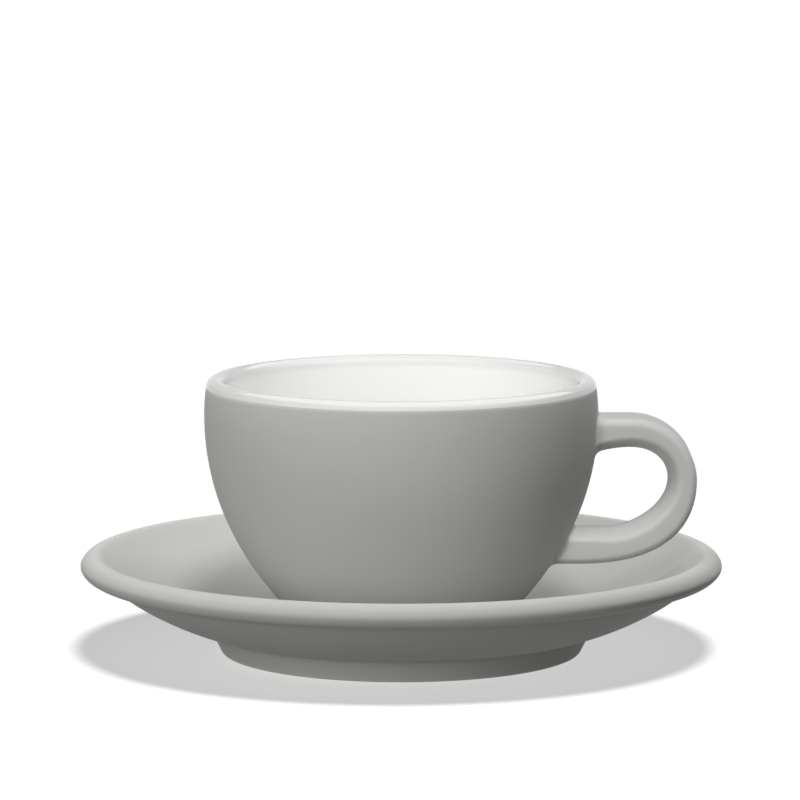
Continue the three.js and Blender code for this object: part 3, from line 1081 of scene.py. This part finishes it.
# %% [markdown]
# ## The camera
# The photograph was taken from far away with a long lens, a little above the lip: the ellipses of the
# lip, of the saucer and of its foot ring give the distance, the height and the tilt between them.

# %% Set the camera
CAMERA_PLACE = (-0.000277, -1.111555, 0.20441)
CAMERA_TILT = 7.5504
CAMERA_LENS = 223.69

camera_data = bpy.data.cameras.new("photo_camera")
camera_data.lens = CAMERA_LENS
camera_data.sensor_width = 36.0
camera_data.clip_end = 50.0
camera = bpy.data.objects.new("photo_camera", camera_data)
camera.location = CAMERA_PLACE
camera.rotation_euler = (math.radians(90 - CAMERA_TILT), 0, 0)
bpy.context.scene.collection.objects.link(camera)
bpy.context.scene.camera = camera
print("camera at", CAMERA_PLACE, "tilted down", CAMERA_TILT, "degrees")

# %% [markdown]
# ## The studio light
# The photograph tells where its light came from. The belly is brightest a little left of the middle, so a
# softbox stands in front on the left, with a larger and weaker one behind it that wraps further round the
# cup. The upper faces are pale all the way round, so two broad lamps hang overhead and two boxes shine
# down from behind; a low one at the back keeps the far side of the cup from going dull. One world light
# would flatten all that, and one lamp for all pieces would burn out the lining, so flags keep each lamp on
# the pieces that it is meant for. The handle has three boxes of its own, and casts a faint shadow on the
# dish from the weaker of the overhead lamps. The lining has two more boxes and a snoot into the cup, and
# mirrors a bright panel overhead: that is the crisp band along its lip. The sheet has a lamp that casts
# the saucer's shadow almost straight down.

# %% Helpers that hang a lamp
NEUTRAL = (1.0, 1.0, 1.0)
WARM = (1.0, 0.992, 0.965)
TOP_LAMP_FROM = (0.094, -0.294, 1.0)
TOP_LAMP_SPREAD = 14.0
BOX_DISTANCE = 1.1
BOX_SIDE = 0.55
SNOOT_BULB = 0.02


def aim(lamp, away):
    """Turns a lamp so that it shines from a direction towards the middle of the set."""
    lamp.rotation_euler = Vector(away).to_track_quat("Z", "Y").to_euler()


def flagged(name, pieces):
    """A collection of pieces for a lamp's flags."""
    collection = bpy.data.collections.new(name)
    for piece in pieces:
        collection.objects.link(piece)
    return collection


def light_only(lamp, *pieces):
    """Keeps a lamp's light on these pieces, as flags do in a studio."""
    lamp.light_linking.receiver_collection = flagged("lit_by_" + lamp.name, pieces)


def shadows_only(lamp, *pieces):
    """Lets only these pieces cast a shadow from a lamp, as if its light wrapped round the others."""
    lamp.light_linking.blocker_collection = flagged("shading_" + lamp.name, pieces)


def overhead_lamp(name, strength, lit):
    """A far lamp high over some pieces, as wide as the soft edge of the saucer's shadow says."""
    data = bpy.data.lights.new(name, "SUN")
    data.energy = strength
    data.angle = math.radians(TOP_LAMP_SPREAD)
    lamp = bpy.data.objects.new(name, data)
    aim(lamp, TOP_LAMP_FROM)
    bpy.context.scene.collection.objects.link(lamp)
    light_only(lamp, *lit)
    print(name, "of strength", strength)
    return lamp


def softbox(name, turn, rise, power, lit, side=BOX_SIDE, colour=NEUTRAL):
    """A square softbox on some pieces; turn is in degrees right of the camera, rise above level."""
    data = bpy.data.lights.new(name, "AREA")
    data.size = side
    data.energy = power
    data.color = colour
    lamp = bpy.data.objects.new(name, data)
    across = math.radians(turn)
    up = math.radians(rise)
    away = Vector((math.sin(across) * math.cos(up), -math.cos(across) * math.cos(up), math.sin(up)))
    lamp.location = away * BOX_DISTANCE
    aim(lamp, away)
    bpy.context.scene.collection.objects.link(lamp)
    light_only(lamp, *lit)
    print(name, "of", power, "W")
    return lamp


def snoot(name, height, width, power):
    """A narrow spot straight over the cup, whose light fades out towards a width at the lip."""
    data = bpy.data.lights.new(name, "SPOT")
    data.energy = power
    data.spot_size = 2 * math.atan(width / 2 / (height - rim_z * MM))
    data.spot_blend = 1.0
    data.shadow_soft_size = SNOOT_BULB
    lamp = bpy.data.objects.new(name, data)
    lamp.location = (0, 0, height)
    bpy.context.scene.collection.objects.link(lamp)
    print(name, "of", power, "W")
    return lamp


def mirrored_panel(name, place, wide, deep, glow):
    """A level panel over the set that is seen in mirror reflections and scatters no light."""
    data = bpy.data.lights.new(name, "AREA")
    data.shape = "RECTANGLE"
    data.size = wide
    data.size_y = deep
    data.energy = glow * math.pi * wide * deep
    lamp = bpy.data.objects.new(name, data)
    lamp.location = place
    lamp.visible_diffuse = False
    bpy.context.scene.collection.objects.link(lamp)
    print(name, wide, "m by", deep, "m")
    return lamp


# %% Hang the lamps
outer_pair = (saucer, bowl)
cup_pair = (bowl, lining)
top_lamp = overhead_lamp("top_lamp", strength=1.08, lit=outer_pair)
shadows_only(top_lamp, saucer, bowl)
high_lamp = overhead_lamp("high_lamp", strength=0.5, lit=outer_pair)
shadows_only(high_lamp, saucer, bowl, handle)

front_box = softbox("front_box", turn=-30, rise=18, power=5.85, lit=(saucer, bowl, lining), colour=WARM)
softbox("left_back_box", turn=-135, rise=60, power=3.4, lit=outer_pair)
softbox("right_back_box", turn=135, rise=60, power=4.5, lit=outer_pair)
back_box = softbox("back_box", turn=180, rise=10, power=5.0, lit=cup_pair, side=0.8)
cup_box = softbox("cup_box", turn=-20, rise=20, power=2.95, lit=cup_pair, side=1.3, colour=WARM)
handle_boxes = [
    softbox("handle_top_box", turn=15, rise=60, power=10.3, lit=[handle]),
    softbox("handle_front_box", turn=-45, rise=0, power=9.7, lit=[handle]),
    softbox("handle_side_box", turn=90, rise=60, power=3.0, lit=[handle]),
]
for lamp in handle_boxes:
    shadows_only(lamp, handle, floor)

lining_box = softbox("lining_box", turn=0, rise=32, power=4.2, lit=[lining])
lining_side_box = softbox("lining_side_box", turn=90, rise=30, power=3.9, lit=[lining])
lining_snoot = snoot("lining_snoot", height=1.2, width=0.076, power=18.0)
light_only(lining_snoot, lining)
for lamp in (front_box, back_box, cup_box, lining_box, lining_side_box, lining_snoot):
    lamp.visible_glossy = False
panel = mirrored_panel("panel", place=(0.25, 0.2, 1.1), wide=2.2, deep=2.6, glow=2.2)
light_only(panel, lining)

overhead_lamp("sheet_lamp", strength=2.0, lit=[floor])

# %% [markdown]
# ## The white room
# Behind the set is nothing but white. The camera and mirror reflections see that white at full strength.
# It adds nothing to the scattered light on the pieces, because the photograph's shading is deep and soft.

# %% Light the room
room = bpy.data.worlds.new("white_room")
room.use_nodes = True
bpy.context.scene.world = room
room_tree = room.node_tree
room_tree.nodes.clear()
room_light = node(room_tree, "ShaderNodeBackground", links={"Strength": seen_directly(room_tree)})
room_light.inputs["Color"].default_value = (1, 1, 1, 1)
node(room_tree, "ShaderNodeOutputWorld", links={"Surface": room_light.outputs[0]})
bpy.context.scene.view_settings.view_transform = "Standard"
print("room:", len(room_tree.nodes), "nodes")
